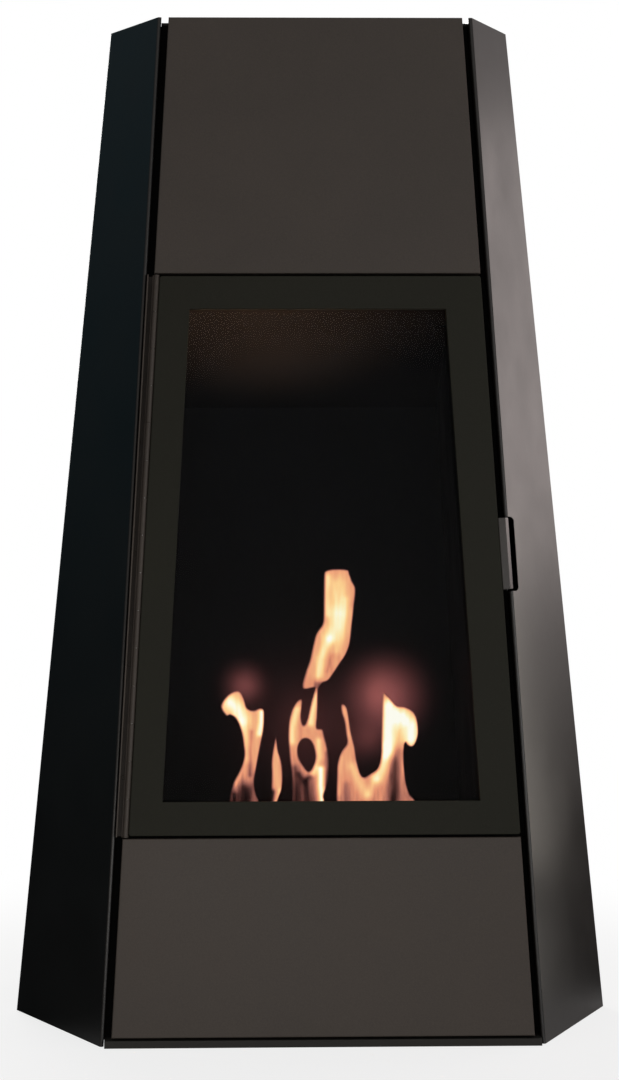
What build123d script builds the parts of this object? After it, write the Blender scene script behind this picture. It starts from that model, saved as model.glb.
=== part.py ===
from build123d import *
import os
from math import atan, cos, degrees, radians, sin, tan

os.makedirs("parts", exist_ok=True)

# Free-standing bioethanol fireplace: a six-sided steel hood that narrows upwards, with a tall
# glazed door between two dark shadow gaps and an ethanol burner in the chamber behind it.
# Millimetres. Origin in the middle of the footprint on the floor, +Z up, the door faces -Y.

# ------------------------------------------------------------------ driving dimensions

# Hood
body_height = 1150
floor_fold_half = 242        # middle to a front fold, at the floor
top_fold_half = 174.8        # the same at the top
floor_ridge_half = 347       # middle to a side ridge, at the floor
top_ridge_half = 233.5       # the same at the top
side_angle = 60              # turn of a side facet away from the front, seen from above
casing_sheet = 2
casing_fold_radius = 2.5
casing_return = 40           # edge of a side casing, folded back beside the shadow gap
casing_flange = 26           # edge of a side casing, folded in behind the back panel
floor_gap = 0.5              # side casings hang this far above the floor
shadow_gap = 8

# Base and top
base_thickness = 8
top_plate_sheet = 3
top_plate_drop = 4           # top plate below the rim of the hood
top_slot_length = 120
top_slot_width = 7
top_slot_pitch = 16
top_slot_rows = 7

# Front panels
panel_sheet = 2
panel_depth = 20
panel_lip = 12
panel_joint = 3              # hairline between door, panels and base
fold_radius = 1.2

# Door
door_bottom = 230.5
door_top = 853.5
door_depth = 18
door_sheet = 2
door_corner_radius = 3
stile_width = 42
sill_height = 37
head_height = 37.5
reveal_depth = 8
glass_seat_width = 25
glass_thickness = 4
glass_overlap = 12
gasket_thickness = 2
gasket_width = 9

# Glass clips
clip_sheet = 1.5
clip_width = 16
clip_reach = 7
clips_per_side = 4
clip_margin = 34             # outer clips inside the ends of the window

# Continuous hinge down the left edge of the door
barrel_radius = 3
pin_radius = 1.5
pin_clearance = 0.07
knuckle_count = 15
knuckle_gap = 0.4
leaf_sheet = 1.5
leaf_gap = 0.4               # leaf edge behind the other leaf's knuckles
hinge_clearance = 0.3        # door edge beside the fixed knuckles
leaf_lip_setback = 1.5       # front edge of the fixed leaf behind the face of the hood
hinge_screw_count = 5
hinge_screw_margin = 62      # outer hinge screws inside the ends of the door
foot_head_radius = 2.6

# Pull
handle_bottom = 501
handle_height = 80
handle_sheet = 2
handle_leg = 15
handle_screw_inset = 9
handle_lip = 9
notch_width = 13
notch_margin = 1.5
notch_radius = 5
notch_depth = 30

# Magnetic catch
catch_height = 40
catch_width = 14
catch_length = 16
catch_flange = 8
catch_air_gap = 0.3
strike_sheet = 2
strike_width = 22

# Front posts and rails
post_sheet = 2
post_inset = 28              # inner flange from the edge of the front
post_outer_flange = 18
post_inner_flange = 28
rail_sheet = 2
rail_depth = 12
lower_rail_bottom = 188
upper_rail_bottom = 826
upper_rail_top = 880

# Firebox
liner_sheet = 1.5
liner_top = 858
liner_gap = 0.4              # liner beside the post flange, which leans a hair inwards
back_wall = 95               # front face of the firebox back, behind the middle
back_wall_flange = 14
hearth_top = 222
hearth_sheet = 2
hearth_flange = 20
hearth_upstand = 24
baffle_sheet = 2
baffle_low = 712             # height at which the baffle meets the back wall
baffle_high = 823
gas_gap = 16                 # way up for the warm air between the upper rail and the baffle
baffle_lip = 12
baffle_rear_lip = 15
bracket_sheet = 2
bracket_length = 20
bracket_leg = 14
bracket_setback = 40         # middle of a bracket behind the front edge of the baffle

# Burner
burner_y = -25               # middle of the flame slot
tank_length = 300
tank_width = 100
tank_height = 62
tank_radius = 12
tank_sheet = 1.5
tank_flange = 13
tank_hole_gap = 2
burner_plate_length = 344
burner_plate_front = 64
burner_plate_rear = 92
burner_plate_radius = 8
burner_plate_sheet = 2
slot_length = 220
slot_width = 34
slot_rim_sheet = 3
slot_rim_height = 3
wool_gap = 2
wool_height = 50
shutter_width = 236
shutter_length = 54
shutter_sheet = 1.5
shutter_clearance = 0.3
shutter_gap = 7              # open shutter behind the rim of the slot
rail_wall = 3
rail_grip = 6
rail_cap = 1.5
knob_radius = 8
knob_height = 5
knob_neck_radius = 4
knob_neck_height = 2
knob_bevel = 1
knob_setback = 12            # middle of the knob behind the front edge of the shutter

# Back panel
back_sheet = 1.5
louvre_width = 130
louvre_height = 14
louvre_rise = 5
louvre_pitch = 24
lower_louvre_rows = 5
lower_louvre_height = 110
upper_louvre_rows = 5
upper_louvre_drop = 94       # topmost louvre below the rim of the hood
louvre_columns = 2
louvre_spacing = 160

# Fasteners
seat = 0.2                   # paint and play between two faces that are bolted together
fit_gap = 0.3                # plate edge beside a casing
cut_margin = 1               # how far a cut runs past the edge that it opens
screw_radius = 2
screw_hole_radius = 2.15
screw_head_radius = 4
screw_head_height = 2.4
hole_reach = 6               # how far a screw hole cuts to each side of the seat of its screw
small_screw_radius = 1.5
small_hole_radius = 1.6
small_head_radius = 2.8
small_head_height = 1.7
panel_screw_margin = 50      # panel screws inside the ends of a panel
casing_screw_count = 4
casing_screw_margin = 90     # outer casing screws inside the ends of the hood
casing_screw_setback = 12    # casing screws behind the face of the posts
back_screw_count = 4
back_screw_margin = 70
liner_screw_count = 3
liner_screw_margin = 100
liner_screw_setback = 8      # liner screws in front of the rear edge of the posts


# ------------------------------------------------------------------ shared geometry

def at_height(floor_value, top_value, z):
    """Value that changes evenly from the floor to the top of the hood."""
    return floor_value + (top_value - floor_value) * z / body_height


def fold_half(z):
    return at_height(floor_fold_half, top_fold_half, z)


def ridge_half(z):
    return at_height(floor_ridge_half, top_ridge_half, z)


def half_depth(z):
    return (ridge_half(z) - fold_half(z)) * tan(radians(side_angle))


def panel_half(z):
    return fold_half(z) - shadow_gap


def spread(low, high, count):
    """Evenly spaced values from low to high."""
    return [low + (high - low) * index / (count - 1) for index in range(count)]


face_lean = atan((half_depth(0) - half_depth(body_height)) / body_height)
facade = Plane(origin=(0, -half_depth(0), 0), x_dir=(1, 0, 0), z_dir=(0, -cos(face_lean), sin(face_lean)))
rear = Plane(origin=(0, half_depth(0), 0), x_dir=(-1, 0, 0), z_dir=(0, cos(face_lean), sin(face_lean)))
outward = Axis(facade.origin, facade.z_dir)


def up(z, depth=0):
    """Distance up the leaning front that reaches height z at a depth behind its face."""
    return (z + depth * sin(face_lean)) / cos(face_lean)


def half_at(slope_distance):
    """Half width of the front panels, at a distance up the leaning front."""
    return panel_half(slope_distance * cos(face_lean))


def front_y(z, depth):
    """Y of the surface that lies a depth behind the front, at height z."""
    return depth / cos(face_lean) - half_depth(z)


edge_lean = atan((panel_half(0) - panel_half(body_height)) / up(body_height))


def across(distance):
    """Level distance across the front that spans a distance square to its leaning edge."""
    return distance / cos(edge_lean)


def front_outline(low, high, left, right, depth=0):
    """Corners of a tapered field of the front, between two heights and inside two edge strips."""
    bottom = up(low, depth)
    top = up(high, depth)
    return [
        (left - half_at(bottom), bottom),
        (half_at(bottom) - right, bottom),
        (half_at(top) - right, top),
        (left - half_at(top), top),
    ]


def edge_strip(low, high, inner, outer):
    """Corners of a strip along the right edge of the front, between two distances out from it."""
    bottom = up(low)
    top = up(high)
    return [
        (half_at(bottom) + inner, bottom),
        (half_at(bottom) + outer, bottom),
        (half_at(top) + outer, top),
        (half_at(top) + inner, top),
    ]


def edge_plane(side, slope_distance):
    """Plane square to a side edge of the front, x to the right, y to the back, z up the edge."""
    corner = facade.from_local_coords(Vector(side * half_at(slope_distance), slope_distance, 0))
    lean_in = facade.x_dir * (-side * sin(edge_lean))
    lean_up = facade.y_dir * (side * sin(edge_lean))
    right = facade.x_dir * cos(edge_lean) + lean_up
    along = facade.y_dir * cos(edge_lean) + lean_in
    return Plane(origin=corner, x_dir=right, z_dir=along)


def edge_place(side, z, p, depth, facing):
    """Place beside a side edge of the front: p to the right of it, at a depth, facing along a vector."""
    plane = edge_plane(side, up(z, depth))
    return Plane(origin=plane.from_local_coords(Vector(p, depth, 0)), x_dir=plane.z_dir, z_dir=facing)


def sheet_section(points, thickness, side):
    """Face of a folded sheet, whose one face follows the points."""
    with BuildSketch() as section:
        with BuildLine():
            Polyline(*points)
            offset(amount=thickness, side=side, kind=Kind.INTERSECTION)
        make_face()
    return section.sketch


def pan_heads(head_radius, head_height, shank_radius, shank_length):
    """Pan-head screw standing on its place, the shank going in behind it."""
    Cylinder(head_radius, head_height, align=(Align.CENTER, Align.CENTER, Align.MIN))
    Cylinder(shank_radius, shank_length, align=(Align.CENTER, Align.CENTER, Align.MAX))


def mirrored(places):
    """The same places on the other side of the hood."""
    return [place.location.mirror(Plane.YZ) for place in places]


left_side = -1
right_side = 1
post_depth = panel_depth + seat              # face of the posts, behind the front
post_outer = shadow_gap - fit_gap            # outer flange of a post, out from the edge
right_of = edge_plane(right_side, 0).x_dir
left_of = edge_plane(left_side, 0).x_dir
door_hinge_heights = spread(door_bottom + hinge_screw_margin, door_top - hinge_screw_margin, hinge_screw_count)
fixed_leaf_back = post_depth - seat
hinge_foot_p = (leaf_sheet - post_outer) / 2
hinge_foot_places = [
    edge_place(left_side, z, hinge_foot_p, fixed_leaf_back - leaf_sheet, facade.z_dir)
    for z in door_hinge_heights
]

# ------------------------------------------------------------------ base plate


def inner_facet(z, y):
    """Middle to the inside of a side casing, less a fitting gap."""
    outer = ridge_half(z) - abs(y) / tan(radians(side_angle))
    return outer - casing_sheet / sin(radians(side_angle)) - fit_gap


def hood_plan(z, front, back):
    """Outline of a plate that fills the hood at a height, stepped round the folded casing edges."""
    shoulder = casing_return + fit_gap - half_depth(z)
    right_half = [
        (fold_half(z) - fit_gap, front),
        (fold_half(z) - fit_gap, shoulder),
        (inner_facet(z, shoulder), shoulder),
        (inner_facet(z, 0), 0),
        (inner_facet(z, back), back),
    ]
    left_half = [(-x, y) for x, y in reversed(right_half)]
    return right_half + left_half


base_back = half_depth(base_thickness) - casing_sheet / cos(face_lean) - fit_gap

with BuildPart() as base_plate:
    with BuildSketch(Plane.XY):
        Polygon(*hood_plan(base_thickness, -half_depth(base_thickness), base_back))
    extrude(amount=base_thickness)
base_plate.part.label = "base_plate"
export_step(base_plate.part, "parts/base_plate.step")

# ------------------------------------------------------------------ side casings

casing_screw_depth = post_depth + casing_screw_setback
casing_screw_heights = spread(casing_screw_margin, body_height - casing_screw_margin, casing_screw_count)
back_screw_heights = spread(back_screw_margin, body_height - back_screw_margin, back_screw_count)
back_screw_inset = casing_flange / 2 + casing_sheet


def casing_profile(z):
    """Outside of the right casing from above: edge beside the gap, two facets and back flange."""
    return [
        (fold_half(z), casing_return - half_depth(z)),
        (fold_half(z), -half_depth(z)),
        (ridge_half(z), 0),
        (fold_half(z), half_depth(z)),
        (fold_half(z) - casing_flange, half_depth(z)),
    ]


casing_sections = []
for section_height in (floor_gap, body_height):
    with BuildSketch(Plane.XY.offset(section_height)) as casing_section:
        with BuildLine():
            FilletPolyline(*casing_profile(section_height), radius=casing_fold_radius)
            offset(amount=casing_sheet, side=Side.LEFT, kind=Kind.INTERSECTION)
        make_face()
    casing_sections.append(casing_section.sketch)

casing_screw_places = [
    edge_place(right_side, z, post_outer - post_sheet, casing_screw_depth, right_of * -1)
    for z in casing_screw_heights
]
back_screw_places = [
    Plane(
        origin=rear.from_local_coords(Vector(back_screw_inset - fold_half(z), up(z), 0)),
        z_dir=rear.z_dir,
    )
    for z in back_screw_heights
]

with BuildPart() as plain_casing:
    loft(sections=casing_sections, ruled=True)
    with Locations(*casing_screw_places):
        Hole(screw_hole_radius, depth=hole_reach)
    with Locations(*back_screw_places):
        Hole(screw_hole_radius, depth=hole_reach)

notch_low = handle_bottom - notch_margin
notch_high = handle_bottom + handle_height + notch_margin

with BuildPart() as right_side_casing:
    add(plain_casing.part)
    with BuildSketch(facade) as notch:
        Polygon(*edge_strip(notch_low, notch_high, shadow_gap / 2, shadow_gap + notch_width))
        fillet(notch.vertices().sort_by(Axis.X)[-2:], notch_radius)
    extrude(amount=-notch_depth, mode=Mode.SUBTRACT)
right_side_casing.part.label = "right_side_casing"
export_step(right_side_casing.part, "parts/right_side_casing.step")

with BuildPart() as left_side_casing:
    mirror(plain_casing.part, about=Plane.YZ)
left_side_casing.part.label = "left_side_casing"
export_step(left_side_casing.part, "parts/left_side_casing.step")

# ------------------------------------------------------------------ back panel with pressed louvres

back_face = rear.offset(-casing_sheet - seat)
top_plate_bottom = body_height - top_plate_drop - top_plate_sheet
back_bottom = up(base_thickness + seat, casing_sheet + seat + back_sheet)
back_top = up(top_plate_bottom - seat)
back_edge = shadow_gap - casing_sheet * 2        # panel edge beyond the edge of the front panels
upper_louvre_height = body_height - upper_louvre_drop - (upper_louvre_rows - 1) * louvre_pitch

louvre_places = []
for first_height, rows in ((lower_louvre_height, lower_louvre_rows), (upper_louvre_height, upper_louvre_rows)):
    for row in range(rows):
        for column in range(louvre_columns):
            sideways = (column - (louvre_columns - 1) / 2) * louvre_spacing
            louvre_places.append(back_face * Location((sideways, up(first_height + row * louvre_pitch), 0)))

# A louvre leans out from its top edge and is open along its lower edge
with BuildPart() as louvre_hood:
    with BuildSketch(Plane.YZ):
        Polygon((0, 0), (louvre_height, 0), (0, louvre_rise))
    extrude(amount=louvre_width / 2, both=True)

hollow_end = louvre_height - 3 * back_sheet
hollow_floor = -2 * back_sheet

with BuildPart() as louvre_hollow:
    with BuildSketch(Plane.YZ):
        Polygon((-cut_margin, hollow_floor), (hollow_end, hollow_floor),
                (hollow_end, 0), (-cut_margin, louvre_rise - back_sheet))
    extrude(amount=louvre_width / 2 - back_sheet, both=True)

with BuildPart() as back_panel:
    with BuildSketch(back_face):
        Polygon(
            (half_at(back_bottom) + back_edge, back_bottom),
            (half_at(back_top) + back_edge, back_top),
            (-half_at(back_top) - back_edge, back_top),
            (-half_at(back_bottom) - back_edge, back_bottom),
        )
    extrude(amount=-back_sheet)
    with Locations(*louvre_places):
        add(louvre_hood.part)
        add(louvre_hollow.part, mode=Mode.SUBTRACT)
    with Locations(*back_screw_places, *mirrored(back_screw_places)):
        Hole(screw_hole_radius, depth=hole_reach)
back_panel.part.label = "back_panel"
export_step(back_panel.part, "parts/back_panel.step")

# ------------------------------------------------------------------ top plate with outlet slots

top_of_plate = top_plate_bottom + top_plate_sheet
top_front = front_y(top_of_plate, panel_depth + fit_gap)
top_back = half_depth(top_of_plate) - casing_sheet / cos(face_lean) - fit_gap

with BuildPart() as top_plate:
    with BuildSketch(Plane.XY.offset(top_plate_bottom)):
        Polygon(*hood_plan(top_of_plate, top_front, top_back))
        with GridLocations(top_slot_length + top_slot_pitch, top_slot_pitch, 2, top_slot_rows):
            SlotOverall(top_slot_length, top_slot_width, mode=Mode.SUBTRACT)
    extrude(amount=top_plate_sheet)
top_plate.part.label = "top_plate"
export_step(top_plate.part, "parts/top_plate.step")

# ------------------------------------------------------------------ front posts

post_section_points = [
    (post_outer, post_depth + post_outer_flange),
    (post_outer, post_depth),
    (-post_inset, post_depth),
    (-post_inset, post_depth + post_inner_flange),
]
post_section = sheet_section(post_section_points, post_sheet, Side.RIGHT)
post_bottom = base_thickness + seat
post_top = top_plate_bottom - seat
post_run = up(body_height) / cos(edge_lean)

panel_heights = {
    "lower_front_panel": (base_thickness + panel_joint, door_bottom - panel_joint),
    "upper_front_panel": (door_top + panel_joint, body_height - fold_radius),
}
panel_screw_heights = []
for panel_low, panel_high in panel_heights.values():
    panel_screw_heights += [panel_low + panel_screw_margin, panel_high - panel_screw_margin]

panel_screw_p = -panel_sheet - panel_lip / 2
panel_screw_places = [
    edge_place(right_side, z, panel_screw_p, post_depth + post_sheet, facade.z_dir * -1)
    for z in panel_screw_heights
]
liner_screw_heights = spread(hearth_top + liner_screw_margin, liner_top - liner_screw_margin, liner_screw_count)
liner_screw_depth = post_depth + post_inner_flange - liner_screw_setback
liner_face = -post_inset - liner_gap - liner_sheet - seat
liner_screw_places = [
    edge_place(right_side, z, liner_face, liner_screw_depth, left_of * -1) for z in liner_screw_heights
]

with BuildPart() as plain_post:
    with BuildSketch(edge_plane(right_side, 0).offset(-post_sheet)):
        add(post_section)
    extrude(amount=post_run)
    split(bisect_by=Plane.XY.offset(post_bottom), keep=Keep.TOP)
    split(bisect_by=Plane.XY.offset(post_top), keep=Keep.BOTTOM)
    with Locations(*panel_screw_places):
        Hole(screw_hole_radius, depth=hole_reach)
    with Locations(*casing_screw_places):
        Hole(screw_hole_radius, depth=hole_reach)
    with Locations(*liner_screw_places):
        Hole(small_hole_radius, depth=hole_reach)

handle_middle = handle_bottom + handle_height / 2
catch_plane = edge_plane(right_side, up(handle_middle, post_depth))
catch_right = -panel_sheet - strike_sheet - catch_flange
catch_middle = catch_right - catch_width / 2

with BuildPart() as right_front_post:
    add(plain_post.part)
    with BuildSketch(catch_plane.offset(-catch_height / 2 - seat)):
        with Locations((catch_middle, post_depth)):
            Rectangle(catch_width + 2 * seat, 3 * post_sheet)
    extrude(amount=catch_height + 2 * seat, mode=Mode.SUBTRACT)
right_front_post.part.label = "right_front_post"
export_step(right_front_post.part, "parts/right_front_post.step")

with BuildPart() as left_front_post:
    mirror(plain_post.part, about=Plane.YZ)
    with Locations(*hinge_foot_places):
        Hole(small_hole_radius, depth=hole_reach)
left_front_post.part.label = "left_front_post"
export_step(left_front_post.part, "parts/left_front_post.step")

# ------------------------------------------------------------------ rails between the posts

rail_edge = across(post_inset + seat)
lower_rail_top = hearth_top - hearth_sheet - seat
rail_heights = {"lower_rail": (lower_rail_bottom, lower_rail_top), "upper_rail": (upper_rail_bottom, upper_rail_top)}

for rail_name, (rail_low, rail_high) in rail_heights.items():
    hollow_low = rail_low + rail_sheet
    hollow_high = rail_high - rail_sheet
    hollow_edge = rail_edge + rail_sheet
    with BuildPart() as rail:
        with BuildSketch(facade.offset(-post_depth)):
            Polygon(*front_outline(rail_low, rail_high, rail_edge, rail_edge, post_depth))
        extrude(amount=-rail_depth)
        with BuildSketch(facade.offset(-post_depth - rail_sheet)):
            Polygon(*front_outline(hollow_low, hollow_high, hollow_edge, hollow_edge, post_depth))
        extrude(amount=-rail_depth, mode=Mode.SUBTRACT)
    rail.part.label = rail_name
    export_step(rail.part, f"parts/{rail_name}.step")

# ------------------------------------------------------------------ upper and lower front panels

for panel_name, (panel_low, panel_high) in panel_heights.items():
    inner_low = panel_low + panel_sheet
    inner_high = panel_high - panel_sheet
    lip_edge = panel_sheet + panel_lip
    with BuildPart() as front_panel:
        with BuildSketch(facade):
            Polygon(*front_outline(panel_low, panel_high, 0, 0))
        extrude(amount=-panel_depth)
        fillet(front_panel.faces().sort_by(outward)[-1].edges(), fold_radius)
        with BuildSketch(facade.offset(-panel_sheet)):
            Polygon(*front_outline(inner_low, inner_high, panel_sheet, panel_sheet))
        extrude(amount=-panel_depth + 2 * panel_sheet, mode=Mode.SUBTRACT)
        with BuildSketch(facade.offset(-panel_sheet)):
            Polygon(*front_outline(inner_low, inner_high, lip_edge, lip_edge))
        extrude(amount=-panel_depth, mode=Mode.SUBTRACT)
        with Locations(*panel_screw_places, *mirrored(panel_screw_places)):
            Hole(screw_hole_radius, depth=hole_reach)
    front_panel.part.label = panel_name
    export_step(front_panel.part, f"parts/{panel_name}.step")

# ------------------------------------------------------------------ firebox

liner_edge = across(post_inset + liner_gap)      # liner outside from the edge of the front
liner_half = liner_edge + liner_sheet + seat     # edge of what fits between the liners


def between_liners(z):
    return panel_half(z) - liner_half


back_wall_rear = back_wall + back_wall_flange
liner_depth = post_depth + rail_depth + fit_gap
liner_bottom = hearth_top - hearth_sheet - hearth_flange
wall_lean = atan((panel_half(0) - panel_half(body_height)) / body_height)
liner_plane = Plane(
    origin=(panel_half(0) - liner_edge, 0, 0), x_dir=(0, 1, 0), z_dir=(cos(wall_lean), 0, sin(wall_lean))
)


def up_liner(z):
    return z / cos(wall_lean)


with BuildPart() as right_liner:
    with BuildSketch(liner_plane):
        Polygon(
            (front_y(liner_bottom, liner_depth), up_liner(liner_bottom)),
            (back_wall_rear, up_liner(liner_bottom)),
            (back_wall_rear, up_liner(liner_top)),
            (front_y(liner_top, liner_depth), up_liner(liner_top)),
        )
    extrude(amount=-liner_sheet)
    with Locations(*liner_screw_places):
        Hole(small_hole_radius, depth=hole_reach)
right_liner.part.label = "right_liner"
export_step(right_liner.part, "parts/right_liner.step")

with BuildPart() as left_liner:
    mirror(right_liner.part, about=Plane.YZ)
left_liner.part.label = "left_liner"
export_step(left_liner.part, "parts/left_liner.step")

back_wall_plane = Plane(origin=(0, back_wall, 0), x_dir=(1, 0, 0), z_dir=(0, -1, 0))
wall_bottom = base_thickness + seat


def wall_outline(low, high, inset):
    return [
        (inset - between_liners(low), low),
        (between_liners(low) - inset, low),
        (between_liners(high) - inset, high),
        (inset - between_liners(high), high),
    ]


with BuildPart() as firebox_back:
    with BuildSketch(back_wall_plane):
        Polygon(*wall_outline(wall_bottom, liner_top, 0))
    extrude(amount=-back_wall_flange)
    with BuildSketch(back_wall_plane.offset(-liner_sheet)):
        Polygon(*wall_outline(wall_bottom - cut_margin, liner_top + cut_margin, liner_sheet))
    extrude(amount=-back_wall_flange, mode=Mode.SUBTRACT)
firebox_back.part.label = "firebox_back"
export_step(firebox_back.part, "parts/firebox_back.step")

# Hearth plate: stands on the lower rail, flanged down at the sides and back, up at the front
hearth_bottom = hearth_top - hearth_sheet
hearth_half = between_liners(hearth_top)
hearth_front = front_y(hearth_top, post_depth + post_sheet + seat)
hearth_back = back_wall - seat
flange_front = hearth_front + rail_depth + panel_lip
hearth_length = hearth_back - flange_front
hearth_middle = (hearth_back + flange_front) / 2
upstand_half = min(panel_half(hearth_top + hearth_upstand) - rail_edge, hearth_half)

with BuildPart() as hearth:
    with BuildSketch(Plane.XY.offset(hearth_bottom)):
        Polygon((-hearth_half, hearth_front), (hearth_half, hearth_front),
                (hearth_half, hearth_back), (-hearth_half, hearth_back))
        with Locations((0, burner_y)):
            RectangleRounded(tank_length + 2 * tank_hole_gap, tank_width + 2 * tank_hole_gap, tank_radius,
                             mode=Mode.SUBTRACT)
    extrude(amount=hearth_sheet)
    with BuildSketch(Plane.XY.offset(hearth_bottom)):
        with Locations((0, hearth_middle)):
            Rectangle(2 * hearth_half, hearth_length)
        with Locations((0, hearth_middle - hearth_sheet)):
            Rectangle(2 * (hearth_half - hearth_sheet), hearth_length, mode=Mode.SUBTRACT)
    extrude(amount=-hearth_flange)
    with BuildSketch(Plane.XY.offset(hearth_bottom)):
        with Locations((0, hearth_front + hearth_sheet / 2)):
            Rectangle(2 * upstand_half, hearth_sheet)
    extrude(amount=hearth_sheet + hearth_upstand)
hearth.part.label = "hearth"
export_step(hearth.part, "parts/hearth.step")

# Baffle: a folded plate that leans forward from the back wall and throws the heat to the front
baffle_back = back_wall - seat
baffle_front = front_y(baffle_high, post_depth + rail_depth) + gas_gap
baffle_points = [
    (baffle_back, baffle_low + baffle_rear_lip),
    (baffle_back, baffle_low),
    (baffle_front, baffle_high),
    (baffle_front, baffle_high + baffle_lip),
]
baffle_section = sheet_section(baffle_points, baffle_sheet, Side.RIGHT)

with BuildPart() as baffle:
    with BuildSketch(Plane.YZ):
        add(baffle_section)
    extrude(amount=between_liners(baffle_low), both=True)
    with BuildSketch(back_wall_plane):
        Polygon(*wall_outline(baffle_low - baffle_lip, baffle_high + 2 * baffle_lip, 0))
    extrude(amount=back_wall - baffle_front, both=True, mode=Mode.INTERSECT)
baffle.part.label = "baffle"
export_step(baffle.part, "parts/baffle.step")

# Angle brackets on the liners that carry the baffle near its front edge
baffle_slope = atan((baffle_high - baffle_low) / (baffle_back - baffle_front))
bracket_y = baffle_front + bracket_setback
bracket_z = baffle_high - bracket_setback * tan(baffle_slope) - seat / cos(baffle_slope)
under_baffle = Plane(
    origin=(0, bracket_y, bracket_z), x_dir=(1, 0, 0), z_dir=(0, sin(baffle_slope), cos(baffle_slope))
)
bracket_side = liner_plane.offset(-liner_sheet - seat)

with BuildPart() as baffle_brackets:
    with BuildSketch(under_baffle):
        with Locations((between_liners(bracket_z) - bracket_leg / 2, 0)):
            Rectangle(bracket_leg + bracket_sheet, bracket_length)
    extrude(amount=-bracket_sheet)
    split(bisect_by=bracket_side, keep=Keep.BOTTOM)
    with BuildSketch(bracket_side):
        with Locations((bracket_y, up_liner(bracket_z))):
            Rectangle(bracket_length, bracket_leg, rotation=-degrees(baffle_slope),
                      align=(Align.CENTER, Align.MAX))
    extrude(amount=-bracket_sheet)
    mirror(about=Plane.YZ)
baffle_brackets.part.label = "baffle_brackets"
export_step(baffle_brackets.part, "parts/baffle_brackets.step")

# ------------------------------------------------------------------ burner

flange_bottom = hearth_top + seat
flange_top = flange_bottom + tank_sheet
tank_bottom = flange_top - tank_height

with BuildPart() as burner_tank:
    with BuildSketch(Plane.XY.offset(tank_bottom)):
        with Locations((0, burner_y)):
            RectangleRounded(tank_length, tank_width, tank_radius)
    extrude(amount=tank_height)
    with BuildSketch(Plane.XY.offset(flange_bottom)):
        with Locations((0, burner_y)):
            RectangleRounded(tank_length + 2 * tank_flange, tank_width + 2 * tank_flange,
                             tank_radius + tank_flange)
    extrude(amount=tank_sheet)
    with BuildSketch(Plane.XY.offset(tank_bottom + tank_sheet)):
        with Locations((0, burner_y)):
            RectangleRounded(tank_length - 2 * tank_sheet, tank_width - 2 * tank_sheet,
                             tank_radius - tank_sheet)
    extrude(amount=tank_height, mode=Mode.SUBTRACT)
burner_tank.part.label = "burner_tank"
export_step(burner_tank.part, "parts/burner_tank.step")

wool_inset = tank_sheet + wool_gap

with BuildPart() as ceramic_wool:
    with BuildSketch(Plane.XY.offset(tank_bottom + tank_sheet + seat)):
        with Locations((0, burner_y)):
            RectangleRounded(tank_length - 2 * wool_inset, tank_width - 2 * wool_inset,
                             tank_radius - wool_inset)
    extrude(amount=wool_height)
ceramic_wool.part.label = "ceramic_wool"
export_step(ceramic_wool.part, "parts/ceramic_wool.step")

# Burner plate with the flame slot, its raised rim and two rails that hold the shutter
plate_bottom = flange_top + seat
plate_top = plate_bottom + burner_plate_sheet
plate_length = burner_plate_front + burner_plate_rear
plate_middle = burner_y + (burner_plate_rear - burner_plate_front) / 2
rim_top = plate_top + slot_rim_height
shutter_bottom = rim_top + shutter_clearance
shutter_top = shutter_bottom + shutter_sheet
cap_bottom = shutter_top + shutter_clearance
rail_inside = shutter_width / 2 + shutter_clearance
rim_half = slot_width / 2 + slot_rim_sheet
open_front = burner_y + rim_half + shutter_gap
closed_front = burner_y - shutter_length / 2
shutter_travel = open_front - closed_front
groove_front = closed_front - shutter_clearance
groove_back = open_front + shutter_length + shutter_clearance
rail_groove = groove_back - groove_front
rail_middle = (groove_back + groove_front) / 2
rail_width = rail_wall + rail_grip
rail_top = cap_bottom + rail_cap
rail_aligns = {left_side: Align.MIN, right_side: Align.MAX}      # side of a rail that its groove lies on

with BuildPart() as burner_plate:
    with BuildSketch(Plane.XY.offset(plate_bottom)):
        with Locations((0, plate_middle)):
            RectangleRounded(burner_plate_length, plate_length, burner_plate_radius)
    extrude(amount=burner_plate_sheet)
    with BuildSketch(Plane.XY.offset(plate_top)):
        with Locations((0, burner_y)):
            SlotOverall(slot_length + 2 * slot_rim_sheet, 2 * rim_half)
    extrude(amount=slot_rim_height)
    for side, rail_align in rail_aligns.items():
        with BuildSketch(Plane.XY.offset(plate_top)):
            with Locations((side * (rail_inside + rail_wall), rail_middle)):
                Rectangle(rail_width, rail_groove + 2 * rail_wall, align=(rail_align, Align.CENTER))
        extrude(amount=rail_top - plate_top)
        with BuildSketch(Plane.XY.offset(rim_top)):
            with Locations((side * rail_inside, rail_middle)):
                Rectangle(rail_width, rail_groove, align=(rail_align, Align.CENTER))
        extrude(amount=cap_bottom - rim_top, mode=Mode.SUBTRACT)
    with BuildSketch(Plane.XY.offset(plate_bottom)):
        with Locations((0, burner_y)):
            SlotOverall(slot_length, slot_width)
    extrude(amount=rim_top - plate_bottom, mode=Mode.SUBTRACT)
burner_plate.part.label = "burner_plate"
export_step(burner_plate.part, "parts/burner_plate.step")

with BuildPart() as burner_shutter:
    with BuildSketch(Plane.XY.offset(shutter_bottom)):
        with Locations((0, open_front + shutter_length / 2)):
            Rectangle(shutter_width, shutter_length)
    extrude(amount=shutter_sheet)
burner_shutter.part.label = "burner_shutter"
export_step(burner_shutter.part, "parts/burner_shutter.step")

# Low knob, turned about an upright axis near the front edge of the shutter
knob_top = knob_neck_height + knob_height

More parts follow.
